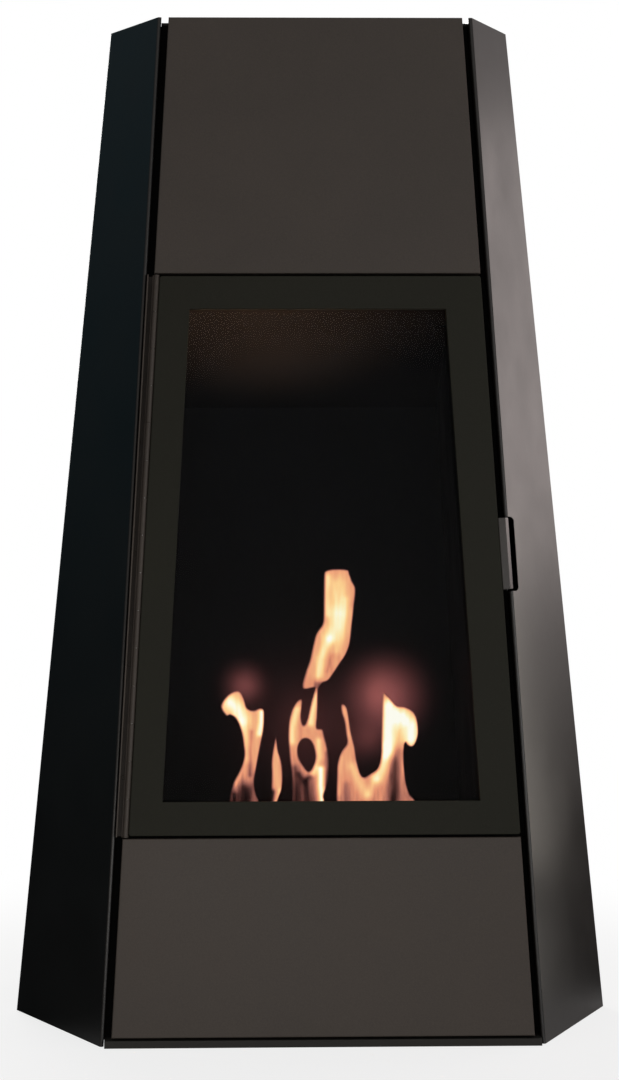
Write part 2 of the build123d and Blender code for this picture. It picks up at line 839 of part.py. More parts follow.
with BuildPart() as shutter_knob:
    with BuildSketch(Plane.XZ):
        with BuildLine():
            Polyline((0, 0), (knob_neck_radius, 0), (knob_neck_radius, knob_neck_height),
                     (knob_radius, knob_neck_height + knob_bevel), (knob_radius, knob_top - knob_bevel),
                     (knob_radius - knob_bevel, knob_top), (0, knob_top), (0, 0))
        make_face()
    revolve(axis=Axis.Z)
shutter_knob.part.locate(Location((0, open_front + knob_setback, shutter_top)))
shutter_knob.part.label = "shutter_knob"
export_step(shutter_knob.part, "parts/shutter_knob.step")

# ------------------------------------------------------------------ door frame

hinge_strip = across(2 * barrel_radius + hinge_clearance)
window_bottom = door_bottom + sill_height
window_top = door_top - head_height
clip_heights = spread(window_bottom + clip_margin, window_top - clip_margin, clips_per_side)
cavity_left = hinge_strip + door_sheet


def window_outline(outset):
    """Corners of the window, grown by a distance on every side."""
    inset = stile_width - outset
    return front_outline(window_bottom - outset, window_top + outset, inset, inset)


window_seat = reveal_depth - door_sheet
door_screw_p = 2 * barrel_radius + hinge_clearance + door_sheet
hinge_screw_depth = (2 * barrel_radius + leaf_gap + door_depth) / 2
hinge_door_places = [
    edge_place(left_side, z, door_screw_p, hinge_screw_depth, left_of) for z in door_hinge_heights
]
handle_screw_heights = (handle_bottom + handle_screw_inset, handle_bottom + handle_height - handle_screw_inset)
handle_screw_depth = handle_leg - small_head_radius
handle_screw_places = [
    edge_place(right_side, z, -door_sheet, handle_screw_depth, right_of * -1) for z in handle_screw_heights
]

glass_front = reveal_depth + gasket_thickness
glass_back = glass_front + glass_thickness

# Clips are folded strips: a foot on the seat of the frame, a riser and a tongue over the glass.
# Their plane has x out from the window edge and y to the back.
clip_riser = glass_overlap + seat
clip_foot_end = glass_seat_width - seat
clip_screw_out = (clip_riser + clip_sheet + clip_foot_end) / 2
clip_points = [(clip_foot_end, reveal_depth), (clip_riser, reveal_depth),
               (clip_riser, glass_back), (glass_overlap - clip_reach, glass_back)]
right_clip_section = sheet_section(clip_points, clip_sheet, Side.RIGHT)
left_clip_section = sheet_section([(-x, y) for x, y in clip_points], clip_sheet, Side.LEFT)
window_edge_p = stile_width * cos(edge_lean)


def side_clip_plane(side, z):
    plane = edge_plane(side, up(z))
    return Plane(origin=plane.from_local_coords(Vector(-side * window_edge_p, 0, 0)),
                 x_dir=plane.x_dir, z_dir=plane.z_dir)


clip_planes = []
for z in clip_heights:
    clip_planes.append((side_clip_plane(right_side, z), right_clip_section, clip_screw_out))
    clip_planes.append((side_clip_plane(left_side, z), left_clip_section, -clip_screw_out))
top_edge = facade.from_local_coords(Vector(0, up(window_top), 0))
bottom_edge = facade.from_local_coords(Vector(0, up(window_bottom), 0))
top_clip_plane = Plane(origin=top_edge, x_dir=facade.y_dir, z_dir=facade.x_dir * -1)
bottom_clip_plane = Plane(origin=bottom_edge, x_dir=facade.y_dir, z_dir=facade.x_dir * -1)
clip_planes.append((top_clip_plane, right_clip_section, clip_screw_out))
clip_planes.append((bottom_clip_plane, left_clip_section, -clip_screw_out))

clip_screw_places = [
    Plane(origin=plane.from_local_coords(Vector(out, reveal_depth + clip_sheet, 0)), z_dir=facade.z_dir * -1)
    for plane, section, out in clip_planes
]

with BuildPart() as door_frame:
    with BuildSketch(facade):
        Polygon(*front_outline(door_bottom, door_top, hinge_strip, 0))
    extrude(amount=-door_depth)
    fillet(door_frame.edges().filter_by(outward), door_corner_radius)
    fillet(door_frame.faces().sort_by(outward)[-1].edges(), fold_radius)
    with BuildSketch(facade.offset(-door_sheet)):
        Polygon(*front_outline(door_bottom + door_sheet, door_top - door_sheet, cavity_left, door_sheet))
    extrude(amount=-door_depth, mode=Mode.SUBTRACT)
    with BuildSketch(facade):
        Polygon(*window_outline(door_sheet))
    extrude(amount=-reveal_depth)
    with BuildSketch(facade.offset(-window_seat)):
        Polygon(*window_outline(glass_seat_width))
    extrude(amount=-door_sheet)
    with BuildSketch(facade):
        Polygon(*window_outline(0))
    extrude(amount=-door_depth, mode=Mode.SUBTRACT)
    with Locations(*hinge_door_places):
        Hole(small_hole_radius, depth=hole_reach)
    with Locations(*handle_screw_places):
        Hole(small_hole_radius, depth=hole_reach)
    with Locations(*clip_screw_places):
        Hole(small_hole_radius, depth=hole_reach)
door_frame.part.label = "door_frame"
export_step(door_frame.part, "parts/door_frame.step")

# ------------------------------------------------------------------ glass, its tape and clips

with BuildPart() as glass_gasket:
    with BuildSketch(facade.offset(-reveal_depth)):
        Polygon(*window_outline(glass_overlap))
        Polygon(*window_outline(glass_overlap - gasket_width), mode=Mode.SUBTRACT)
    extrude(amount=-gasket_thickness)
glass_gasket.part.label = "glass_gasket"
export_step(glass_gasket.part, "parts/glass_gasket.step")

with BuildPart() as door_glass:
    with BuildSketch(facade.offset(-glass_front)):
        Polygon(*window_outline(glass_overlap))
    extrude(amount=-glass_thickness)
door_glass.part.label = "door_glass"
export_step(door_glass.part, "parts/door_glass.step")

with BuildPart() as glass_clips:
    for plane, section, out in clip_planes:
        with BuildSketch(plane.offset(-clip_width / 2)):
            add(section)
        extrude(amount=clip_width)
    with Locations(*clip_screw_places):
        Hole(small_hole_radius, depth=hole_reach)
glass_clips.part.label = "glass_clips"
export_step(glass_clips.part, "parts/glass_clips.step")

# ------------------------------------------------------------------ continuous hinge

# The hinge plane is square to the left edge of the front, x to the right and y to the back. The
# edge leans, so the rear corner of the door leaf comes lower as the door opens: the barrel and
# the leaves end that much above the lower panel.
barrel_end_gap = door_depth * tan(edge_lean) + knuckle_gap
barrel_start = up(door_bottom - panel_joint) + barrel_end_gap
barrel_stop = up(door_top + panel_joint) - barrel_end_gap
barrel_length = (barrel_stop - barrel_start) / cos(edge_lean)
knuckle_length = (barrel_length - (knuckle_count - 1) * knuckle_gap) / knuckle_count
hinge_plane = edge_plane(left_side, barrel_start)
bore_radius = pin_radius + pin_clearance
leaf_start = 2 * barrel_radius + leaf_gap
door_edge = 2 * barrel_radius + hinge_clearance

fixed_leaf_points = [
    (-post_outer, leaf_lip_setback),
    (-post_outer, fixed_leaf_back),
    (0, fixed_leaf_back),
    (0, leaf_start),
]
fixed_leaf_section = sheet_section(fixed_leaf_points, leaf_sheet, Side.RIGHT)


def knuckle(index, leaf_inner, leaf_outer):
    """One knuckle of the barrel, with a tongue that reaches back to its leaf."""
    with BuildPart() as body:
        with BuildSketch(hinge_plane.offset(index * (knuckle_length + knuckle_gap))):
            with Locations((barrel_radius, barrel_radius)):
                Circle(barrel_radius)
            Polygon((leaf_inner, barrel_radius), (leaf_outer, barrel_radius),
                    (leaf_outer, leaf_start + leaf_gap), (leaf_inner, leaf_start + leaf_gap))
        extrude(amount=knuckle_length)
    return body.part


with BuildSketch(hinge_plane) as bore_section:
    with Locations((barrel_radius, barrel_radius)):
        Circle(bore_radius)

with BuildPart() as hinge_fixed_leaf:
    with BuildSketch(hinge_plane):
        add(fixed_leaf_section)
    extrude(amount=barrel_length)
    for index in range(0, knuckle_count, 2):
        add(knuckle(index, 0, leaf_sheet))
    extrude(bore_section.sketch, amount=barrel_length, mode=Mode.SUBTRACT)
    with Locations(*hinge_foot_places):
        CounterSinkHole(small_hole_radius, foot_head_radius, depth=2 * leaf_sheet)
hinge_fixed_leaf.part.label = "hinge_fixed_leaf"
export_step(hinge_fixed_leaf.part, "parts/hinge_fixed_leaf.step")

with BuildPart() as hinge_door_leaf:
    with BuildSketch(hinge_plane):
        Polygon((door_edge - leaf_sheet, leaf_start), (door_edge, leaf_start),
                (door_edge, door_depth), (door_edge - leaf_sheet, door_depth))
    extrude(amount=barrel_length)
    for index in range(1, knuckle_count, 2):
        add(knuckle(index, door_edge - leaf_sheet, door_edge))
    extrude(bore_section.sketch, amount=barrel_length, mode=Mode.SUBTRACT)
    with Locations(*hinge_door_places):
        Hole(small_hole_radius, depth=hole_reach)
hinge_door_leaf.part.label = "hinge_door_leaf"
export_step(hinge_door_leaf.part, "parts/hinge_door_leaf.step")

with BuildPart() as hinge_pin:
    with BuildSketch(hinge_plane):
        with Locations((barrel_radius, barrel_radius)):
            Circle(pin_radius)
    extrude(amount=barrel_length)
hinge_pin.part.label = "hinge_pin"
export_step(hinge_pin.part, "parts/hinge_pin.step")

# ------------------------------------------------------------------ door pull

# Folded strip: a leg on the edge of the door, a face across the shadow gap and a lip that
# carries on along the side casing, where the notch leaves room for the fingers.
handle_fold = shadow_gap * cos(edge_lean)
handle_points = [
    (seat, handle_leg),
    (seat, 0),
    (handle_fold, 0),
    (handle_fold + handle_lip * cos(radians(side_angle)), handle_lip * sin(radians(side_angle))),
]
handle_section = sheet_section(handle_points, handle_sheet, Side.LEFT)
handle_start = edge_plane(right_side, up(handle_bottom))

with BuildPart() as door_handle:
    with BuildSketch(handle_start):
        add(handle_section)
    extrude(amount=handle_height)
    with Locations(*handle_screw_places):
        Hole(small_hole_radius, depth=hole_reach)
door_handle.part.label = "door_handle"
export_step(door_handle.part, "parts/door_handle.step")

# ------------------------------------------------------------------ magnetic catch and strike

catch_start = catch_plane.offset(-catch_height / 2)
catch_face = door_depth + catch_air_gap
strike_back = door_depth
flange_front_face = post_depth + post_sheet + seat
catch_left = catch_middle - catch_width / 2

with BuildPart() as catch_magnet:
    with BuildSketch(catch_start):
        Polygon((catch_left, catch_face), (catch_left + catch_width, catch_face),
                (catch_left + catch_width, catch_face + catch_length), (catch_left, catch_face + catch_length))
    extrude(amount=catch_height)
    with BuildSketch(catch_start.offset(-catch_flange)):
        Polygon((catch_left, flange_front_face), (catch_left + catch_width, flange_front_face),
                (catch_left + catch_width, flange_front_face + post_sheet),
                (catch_left, flange_front_face + post_sheet))
    extrude(amount=catch_height + 2 * catch_flange)
catch_magnet.part.label = "catch_magnet"
export_step(catch_magnet.part, "parts/catch_magnet.step")

strike_edge = -door_sheet - seat
strike_points = [
    (strike_edge, door_sheet + seat),
    (strike_edge, strike_back),
    (strike_edge - strike_width, strike_back),
]
strike_section = sheet_section(strike_points, strike_sheet, Side.LEFT)

with BuildPart() as catch_strike:
    with BuildSketch(catch_start):
        add(strike_section)
    extrude(amount=catch_height)
catch_strike.part.label = "catch_strike"
export_step(catch_strike.part, "parts/catch_strike.step")

# ------------------------------------------------------------------ fasteners


with BuildPart() as panel_screws:
    with Locations(*panel_screw_places, *mirrored(panel_screw_places)):
        pan_heads(screw_head_radius, screw_head_height, screw_radius, 3 * panel_sheet)
panel_screws.part.label = "panel_screws"
export_step(panel_screws.part, "parts/panel_screws.step")

with BuildPart() as casing_screws:
    with Locations(*casing_screw_places, *mirrored(casing_screw_places)):
        pan_heads(screw_head_radius, screw_head_height, screw_radius, 3 * casing_sheet)
casing_screws.part.label = "casing_screws"
export_step(casing_screws.part, "parts/casing_screws.step")

with BuildPart() as liner_screws:
    with Locations(*liner_screw_places, *mirrored(liner_screw_places)):
        pan_heads(small_head_radius, small_head_height, small_screw_radius, 3 * post_sheet)
liner_screws.part.label = "liner_screws"
export_step(liner_screws.part, "parts/liner_screws.step")

with BuildPart() as back_screws:
    with Locations(*back_screw_places, *mirrored(back_screw_places)):
        pan_heads(screw_head_radius, screw_head_height, screw_radius, 3 * casing_sheet)
back_screws.part.label = "back_screws"
export_step(back_screws.part, "parts/back_screws.step")

with BuildPart() as clip_screws:
    with Locations(*clip_screw_places):
        pan_heads(small_head_radius, small_head_height, small_screw_radius, clip_sheet + door_sheet)
clip_screws.part.label = "clip_screws"
export_step(clip_screws.part, "parts/clip_screws.step")

with BuildPart() as hinge_door_screws:
    with Locations(*hinge_door_places):
        pan_heads(small_head_radius, small_head_height, small_screw_radius, door_sheet + leaf_sheet)
hinge_door_screws.part.label = "hinge_door_screws"
export_step(hinge_door_screws.part, "parts/hinge_door_screws.step")

# Countersunk screws in the foot of the fixed leaf: a cone in the leaf, a shank through the post
with BuildPart() as hinge_foot_screws:
    with Locations(*hinge_foot_places):
        Cone(small_screw_radius, foot_head_radius - seat, foot_head_radius - small_screw_radius,
             align=(Align.CENTER, Align.CENTER, Align.MAX))
        Cylinder(small_screw_radius, leaf_sheet + 2 * post_sheet,
                 align=(Align.CENTER, Align.CENTER, Align.MAX))
hinge_foot_screws.part.label = "hinge_foot_screws"
export_step(hinge_foot_screws.part, "parts/hinge_foot_screws.step")

with BuildPart() as handle_screws:
    with Locations(*handle_screw_places):
        pan_heads(small_head_radius, small_head_height, small_screw_radius, 2 * door_sheet)
handle_screws.part.label = "handle_screws"
export_step(handle_screws.part, "parts/handle_screws.step")
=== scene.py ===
from math import exp, pi, radians, sin, sqrt

import bmesh
import bpy
from mathutils import Euler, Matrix, Vector, geometry, noise


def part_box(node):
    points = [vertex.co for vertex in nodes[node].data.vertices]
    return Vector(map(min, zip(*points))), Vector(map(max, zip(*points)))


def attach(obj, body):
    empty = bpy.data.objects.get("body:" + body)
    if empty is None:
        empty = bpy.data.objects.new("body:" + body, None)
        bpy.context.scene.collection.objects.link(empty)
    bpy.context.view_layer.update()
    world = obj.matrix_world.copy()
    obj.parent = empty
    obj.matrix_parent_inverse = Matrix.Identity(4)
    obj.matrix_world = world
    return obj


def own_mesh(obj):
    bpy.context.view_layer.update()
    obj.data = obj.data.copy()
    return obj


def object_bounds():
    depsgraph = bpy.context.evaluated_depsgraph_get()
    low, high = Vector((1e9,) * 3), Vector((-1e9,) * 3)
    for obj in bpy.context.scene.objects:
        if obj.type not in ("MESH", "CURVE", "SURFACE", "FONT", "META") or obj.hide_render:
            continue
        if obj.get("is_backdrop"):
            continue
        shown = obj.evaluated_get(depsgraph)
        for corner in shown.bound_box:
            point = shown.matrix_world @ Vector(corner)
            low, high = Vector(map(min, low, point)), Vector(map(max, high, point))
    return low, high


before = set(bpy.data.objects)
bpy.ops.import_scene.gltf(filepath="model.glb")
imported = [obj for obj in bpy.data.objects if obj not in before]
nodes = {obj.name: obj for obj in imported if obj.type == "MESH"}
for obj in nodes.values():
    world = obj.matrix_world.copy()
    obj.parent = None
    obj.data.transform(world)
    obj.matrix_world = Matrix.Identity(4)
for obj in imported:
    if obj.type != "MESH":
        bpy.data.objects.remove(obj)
cad_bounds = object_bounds()

# Free-standing bioethanol fireplace: a six-sided steel hood with a tall glazed door. Metres,
# +Z up, the door faces -Y. The finishes, the flames, the floor and the light are made here.

# ------------------------------------------------------------------ sizes and places

# Camera: the photograph's frame and the view that was fitted to the corners of the hood
PHOTO_WIDTH = 619
PHOTO_HEIGHT = 1080
SENSOR = 36                      # millimetres, on the long side
FOCAL_PIXELS = 2231.8
AXIS_PIXEL = (180, 478.9)        # pixel that lies straight ahead of the camera
CAMERA_PLACE = (-0.2056, -2.6313, 0.6252)
CAMERA_YAW = radians(1.144)
CAMERA_ROLL = radians(0.118)

# Floor: distances are from its middle, under the hood
FLOOR_SIZE = 12
FLOOR_WHITE = (0.42, 1.0)        # it fades to the white of the backdrop from here to here
FLOOR_NEAR_WHITE = 0.78          # share of that white near the hood; the rest takes the shadow
FLOOR_PALE = (0.8, 0.8, 0.8, 1)
FLOOR_DARK = (0.02, 0.02, 0.02, 1)  # what the hood mirrors of the floor on its left and far off
FLOOR_LEFT = (-0.9, 0.43)        # x and y of a step to the left, past the left side of the hood
FLOOR_DARK_LEFT = (0.1, 0.3)     # distance that way where the dark starts and is full
FLOOR_DARK_FAR = (0.25, 0.55)    # and the same on the right and behind,
FLOOR_DARK_BACK = (-0.9, -0.3)   # where it starts at this y: the floor in front stays pale

# Studio: direction of each soft patch of the backdrop, how near to it (as a cosine) the patch
# starts and is full, and its colour
BEHIND = ((0.1, 1, 0.1), 0.7, 1.0)   # gloss shows the backdrop there as white as the eye does
STUDIO = [((0.83, 0.57, 0.14), 0.1, 0.95, (0.4, 0.337, 0.32)),      # right
          ((0, 0, 1), 0.1, 1.0, (0.4, 0.4, 0.405)),                 # above
          ((-0.25, -1, -0.1), 0.2, 0.95, (0.5, 0.46, 0.43)),        # in front
          ((-0.8, 0.4, 0.6), 0.75, 1.0, (0.0, 0.06, 0.085)),        # high on the left, blue
          (*BEHIND, (0.7, 0.7, 0.7)),
          ((0, 0, 1), -1.01, -1.0, (0.012, 0.014, 0.016))]          # the same all round

# Painted edges: rounded, rubbed, and painted lighter as a highlight along the folds
EDGE_ROUND = 0.0013              # how far from the edge of a sheet its paint is rounded, rubbed and painted lighter
EDGE_WEAR_AND_HIGHLIGHT_LIGHTER = 2.2               # how much lighter the edge paint is: rubbed wear and a painted highlight of the folds
EDGE_FLAT = (0.75, 0.98)         # cosine of the turn of its normal where the edge paint is fully lightened and not at all
EDGE_WEAR_AND_HIGHLIGHT = (0.2, 1)             # least and most of the rubbing and painted highlight along the edges

# Flames
BURNER_Y = sum(corner.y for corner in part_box("burner_tank")) / 2
RIM_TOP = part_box("burner_plate")[0].z + 0.005
FLAME_STEP = 0.0016              # distance between the points of a flame's mesh
ROW_STEP = FLAME_STEP * 0.87     # the same between its rows, which are offset by half a step
FLAME_HALF = 0.0055              # half the thickness of a flame at its core
FLAME_ROUND = 0.008              # how far in from its outline a flame reaches that thickness
FLAME_BOW = 0.006                # how far a flame sways to the front and back along its height
FLAME_BOW_LENGTH = 0.13          # and the length of that wave
FLAME_RIPPLE = 0.003             # the same across it
FLAME_RIPPLE_LENGTH = 0.07
FLAME_FLICKER = 0.08             # unevenness of its heat


def srgb(red, green, blue):
    """Shader colour of a screen colour given as 0 to 255."""
    def linear(value):
        value /= 255
        return value / 12.92 if value <= 0.04045 else ((value + 0.055) / 1.055) ** 2.4
    return (linear(red), linear(green), linear(blue), 1)


# ------------------------------------------------------------------ shader nodes

def node(tree, kind, **settings):
    made = tree.nodes.new("ShaderNode" + kind)
    for name, value in settings.items():
        setattr(made, name, value)
    return made


def feed(tree, socket, value):
    """Sets a socket to a plain value, or links it to another socket."""
    if isinstance(value, bpy.types.NodeSocket):
        tree.links.new(value, socket)
    else:
        socket.default_value = value


def maths(tree, operation, first, second=0.0):
    made = node(tree, "Math", operation=operation)
    feed(tree, made.inputs[0], first)
    feed(tree, made.inputs[1], second)
    return made.outputs[0]


def spread(tree, value, low, high, start=0.0, end=1.0, smooth=False):
    """Value taken from start..end to low..high."""
    made = node(tree, "MapRange", interpolation_type="SMOOTHSTEP" if smooth else "LINEAR")
    for socket, number in zip(made.inputs, (value, start, end, low, high)):
        feed(tree, socket, number)
    return made.outputs[0]


def blend_colours(tree, factor, first, second):
    made = node(tree, "Mix", data_type="RGBA")
    feed(tree, made.inputs["Factor"], factor)
    feed(tree, made.inputs[6], first)
    feed(tree, made.inputs[7], second)
    return made.outputs[2]


def object_place(tree, scale=(1, 1, 1)):
    """Place on the object in metres, stretched by a scale."""
    place = node(tree, "TexCoord").outputs["Object"]
    stretched = node(tree, "Mapping")
    feed(tree, stretched.inputs["Vector"], place)
    stretched.inputs["Scale"].default_value = scale
    return stretched.outputs["Vector"]


def grain(tree, place, scale, detail=2.0, roughness=0.5):
    made = node(tree, "TexNoise")
    feed(tree, made.inputs["Vector"], place)
    made.inputs["Scale"].default_value = scale
    made.inputs["Detail"].default_value = detail
    made.inputs["Roughness"].default_value = roughness
    return made.outputs["Fac"]


def bumped(tree, height, distance, strength=1.0, below=None):
    made = node(tree, "Bump")
    made.inputs["Distance"].default_value = distance
    made.inputs["Strength"].default_value = strength
    feed(tree, made.inputs["Height"], height)
    if below is not None:
        feed(tree, made.inputs["Normal"], below)
    return made.outputs["Normal"]


def surface(name):
    """New material with a Principled shader."""
    made = bpy.data.materials.new(name)
    made.use_nodes = True
    return made, made.node_tree, made.node_tree.nodes["Principled BSDF"]


# ------------------------------------------------------------------ materials

def rounded_edges(tree):
    """Normal that turns softly round the edges of the sheet, and a mask that is 1 on those edges."""
    bevel = node(tree, "Bevel", samples=4)
    bevel.inputs["Radius"].default_value = EDGE_ROUND
    flat = node(tree, "VectorMath", operation="DOT_PRODUCT")
    feed(tree, flat.inputs[0], bevel.outputs["Normal"])
    feed(tree, flat.inputs[1], node(tree, "NewGeometry").outputs["Normal"])
    return bevel.outputs["Normal"], spread(tree, flat.outputs["Value"], 1, 0, *EDGE_FLAT)


def powder_coat(name, colour, roughness, specular, grain_size=0.0016, depth=0.00005, mottle=0.10):
    """Sprayed and baked paint: fine texture, a trace of orange peel, uneven shade, and edges that are rubbed
    and painted lighter as a highlight.
    """
    made, tree, shader = surface(name)
    place = object_place(tree)
    texture = grain(tree, place, 1 / grain_size, 3, 0.6)
    peel = grain(tree, place, 0.22 / grain_size, 1)
    cloud = grain(tree, place, 7, 3, 0.6)
    fine_shade = maths(tree, "MULTIPLY", texture, 0.55)
    shade = maths(tree, "ADD", fine_shade, maths(tree, "MULTIPLY", cloud, 0.45))
    dark = [value * (1 - 2 * mottle) for value in colour[:3]] + [1]
    light = [value * (1 + 2 * mottle) for value in colour[:3]] + [1]
    # painted highlight: the paint on the edges is lightened, partly for rubbed wear and partly to stand for
    # the light that the folds catch
    rubbed_and_highlit = [value * EDGE_WEAR_AND_HIGHLIGHT_LIGHTER for value in colour[:3]] + [1]
    round_normal, on_edge = rounded_edges(tree)
    wear_and_highlight = maths(tree, "MULTIPLY", on_edge, spread(tree, cloud, *EDGE_WEAR_AND_HIGHLIGHT, 0.35, 0.65))
    coat = blend_colours(tree, spread(tree, shade, 0, 1, 0.3, 0.7), dark, light)
    feed(tree, shader.inputs["Base Color"], blend_colours(tree, wear_and_highlight, coat, rubbed_and_highlit))
    feed(tree, shader.inputs["Roughness"], spread(tree, cloud, roughness - 0.05, roughness + 0.05, 0.3, 0.7))
    shader.inputs["Specular IOR Level"].default_value = specular
    under = bumped(tree, peel, depth * 2, 0.5, round_normal)
    feed(tree, shader.inputs["Normal"], bumped(tree, texture, depth, 1, under))
    return made


def firebox_paint(name, colour):
    """Matte heat-resistant paint with faint heat marks that run upwards."""
    made, tree, shader = surface(name)
    texture = grain(tree, object_place(tree), 900, 2, 0.6)
    marks = grain(tree, object_place(tree, (1, 1, 0.35)), 16, 4, 0.6)
    warm = [colour[0] * 1.3, colour[1] * 1.15, colour[2], 1]
    marked = spread(tree, marks, 0, 1, 0.4, 0.75)
    feed(tree, shader.inputs["Base Color"], blend_colours(tree, marked, colour, warm))
    feed(tree, shader.inputs["Roughness"], spread(tree, marks, 0.62, 0.82, 0.3, 0.7))
    shader.inputs["Specular IOR Level"].default_value = 0.04
    feed(tree, shader.inputs["Normal"], bumped(tree, texture, 0.00006))
    return made


def brushed_steel(name, colour, roughness, grain_along=(6, 1400, 1400), heat_tint=False):
    """Steel with fine lines along one axis; the burner also has straw and blue from the heat."""
    made, tree, shader = surface(name)
    lines = grain(tree, object_place(tree, grain_along), 1, 3, 0.6)
    patches = grain(tree, object_place(tree), 22, 3)
    dark = [value * 0.86 for value in colour[:3]] + [1]
    shade = blend_colours(tree, spread(tree, lines, 0, 1, 0.3, 0.7), dark, colour)
    if heat_tint:
        across = node(tree, "SeparateXYZ")
        feed(tree, across.inputs[0], node(tree, "TexCoord").outputs["Object"])
        from_slot = maths(tree, "ABSOLUTE", maths(tree, "SUBTRACT", across.outputs["Y"], BURNER_Y))
        uneven = maths(tree, "ADD", from_slot, maths(tree, "MULTIPLY", patches, 0.02))
        tints = node(tree, "ValToRGB")
        tints.color_ramp.elements[0].color = srgb(120, 118, 150)
        tints.color_ramp.elements[1].color = colour
        straw = tints.color_ramp.elements.new(0.45)
        straw.color = srgb(186, 154, 104)
        feed(tree, tints.inputs["Fac"], spread(tree, uneven, 0, 1, 0.026, 0.062))
        shade = blend_colours(tree, 0.55, shade, tints.outputs["Color"])
    feed(tree, shader.inputs["Base Color"], shade)
    shader.inputs["Metallic"].default_value = 1
    uneven_polish = spread(tree, patches, roughness - 0.05, roughness + 0.07, 0.3, 0.7)
    feed(tree, shader.inputs["Roughness"], uneven_polish)
    feed(tree, shader.inputs["Normal"], bumped(tree, lines, 0.00001, 0.6))
    return made


def zinc_plate(name):
    """Galvanised steel: dull spangle and a cloudy sheen."""
    made, tree, shader = surface(name)
    spangle = node(tree, "TexVoronoi")
    feed(tree, spangle.inputs["Vector"], object_place(tree))
    spangle.inputs["Scale"].default_value = 420
    tone = node(tree, "SeparateColor")
    feed(tree, tone.inputs[0], spangle.outputs["Color"])
    feed(tree, shader.inputs["Base Color"],
         blend_colours(tree, tone.outputs[0], srgb(150, 150, 148), srgb(178, 179, 180)))
    shader.inputs["Metallic"].default_value = 1
    feed(tree, shader.inputs["Roughness"], spread(tree, tone.outputs[1], 0.34, 0.48))
    feed(tree, shader.inputs["Normal"], bumped(tree, grain(tree, object_place(tree), 1500), 0.00001))
    return made


def door_pane(name):
    """Clear ceramic glass, faintly wavy, with a thin cloudy film of dust and burnt vapour."""
    made, tree, shader = surface(name)
    film = grain(tree, object_place(tree), 9, 4, 0.65)
    cloudy = spread(tree, film, 0, 1, 0.35, 0.7)
    tint = blend_colours(tree, cloudy, (1, 1, 1, 1), (0.97, 0.965, 0.955, 1))
    feed(tree, shader.inputs["Base Color"], tint)
    shader.inputs["Transmission Weight"].default_value = 1
    shader.inputs["IOR"].default_value = 1.1
    shader.inputs["Roughness"].default_value = 0
    feed(tree, shader.inputs["Normal"], bumped(tree, grain(tree, object_place(tree), 5, 1), 0.0002, 0.1))
    return made


def woven_tape(name, colour):
    """Black glass-fibre tape: crossed bands of yarn about a millimetre wide."""
    made, tree, shader = surface(name)
    place = object_place(tree)
    bands = []
    for direction in ("X", "Z"):
        yarn = node(tree, "TexWave", wave_type="BANDS", bands_direction=direction)
        feed(tree, yarn.inputs["Vector"], place)
        yarn.inputs["Scale"].default_value = 300
        yarn.inputs["Distortion"].default_value = 0.6
        bands.append(yarn.outputs["Fac"])
    weave = maths(tree, "MAXIMUM", bands[0], bands[1])
    dark = [value * 0.5 for value in colour[:3]] + [1]
    feed(tree, shader.inputs["Base Color"], blend_colours(tree, weave, dark, colour))
    feed(tree, shader.inputs["Roughness"], spread(tree, weave, 0.95, 0.8))
    shader.inputs["Sheen Weight"].default_value = 0.2
    feed(tree, shader.inputs["Normal"], bumped(tree, weave, 0.0003))
    return made


def loose_fibre(name):
    """Ceramic wool: pale matted fibres, a little scorched on top."""
    made, tree, shader = surface(name)
    strands = grain(tree, object_place(tree, (1, 3.5, 2)), 260, 6, 0.7)
    scorch = grain(tree, object_place(tree), 30, 3, 0.6)
    lit = spread(tree, strands, 0, 1, 0.3, 0.7)
    burnt = spread(tree, scorch, 0, 0.6, 0.5, 0.8)
    pale = blend_colours(tree, lit, srgb(196, 190, 176), srgb(236, 232, 222))
    feed(tree, shader.inputs["Base Color"], blend_colours(tree, burnt, pale, srgb(120, 100, 78)))
    feed(tree, shader.inputs["Roughness"], spread(tree, strands, 1.0, 0.85))
    shader.inputs["Sheen Weight"].default_value = 0.3
    feed(tree, shader.inputs["Normal"], bumped(tree, strands, 0.0012))
    return made


def flame_gas(name):
    """Glowing gas. The mesh carries its heat, which sets the colour and how much shows through."""
    made, tree, shader = surface(name)
    heat_of = node(tree, "Attribute", attribute_name="warmth")
    heat = heat_of.outputs["Fac"]
    colours = node(tree, "ValToRGB")
    ramp = colours.color_ramp
    ramp.elements[0].color = srgb(62, 34, 34)
    ramp.elements[1].color = srgb(254, 254, 242)
    steps = ((0.12, (112, 66, 60)), (0.26, (176, 110, 96)), (0.4, (226, 146, 112)),
             (0.54, (242, 176, 128)), (0.68, (253, 208, 144)), (0.8, (253, 232, 174)),
             (0.9, (252, 245, 204)))
    for position, colour in steps:
        ramp.elements.new(position).color = srgb(*colour)
    feed(tree, colours.inputs["Fac"], heat)
    feed(tree, shader.inputs["Emission Color"], colours.outputs["Color"])
    shader.inputs["Emission Strength"].default_value = 1.0
    shader.inputs["Base Color"].default_value = (0, 0, 0, 1)
    shader.inputs["Roughness"].default_value = 1.0
    shader.inputs["Specular IOR Level"].default_value = 0
    feed(tree, shader.inputs["Alpha"], spread(tree, heat, 0, 1, 0, 0.42))
    return made


# painted shade: the casing has the same paint as the front panels, but its colour is set far darker so that
# its side faces come out as dark as in shade
CASING = powder_coat("casing_coat", srgb(18, 17, 16), 0.37, 0.5)
PANEL = powder_coat("panel_coat", srgb(60, 54, 49), 0.55, 0.3)
HANDLE = powder_coat("handle_coat", srgb(40, 36, 33), 0.36, 0.5)
DOOR = powder_coat("door_coat", srgb(35, 35, 29), 0.7, 0.12, depth=0.00004)
CARCASS = powder_coat("carcass_coat", srgb(34, 33, 31), 0.6, 0.25)
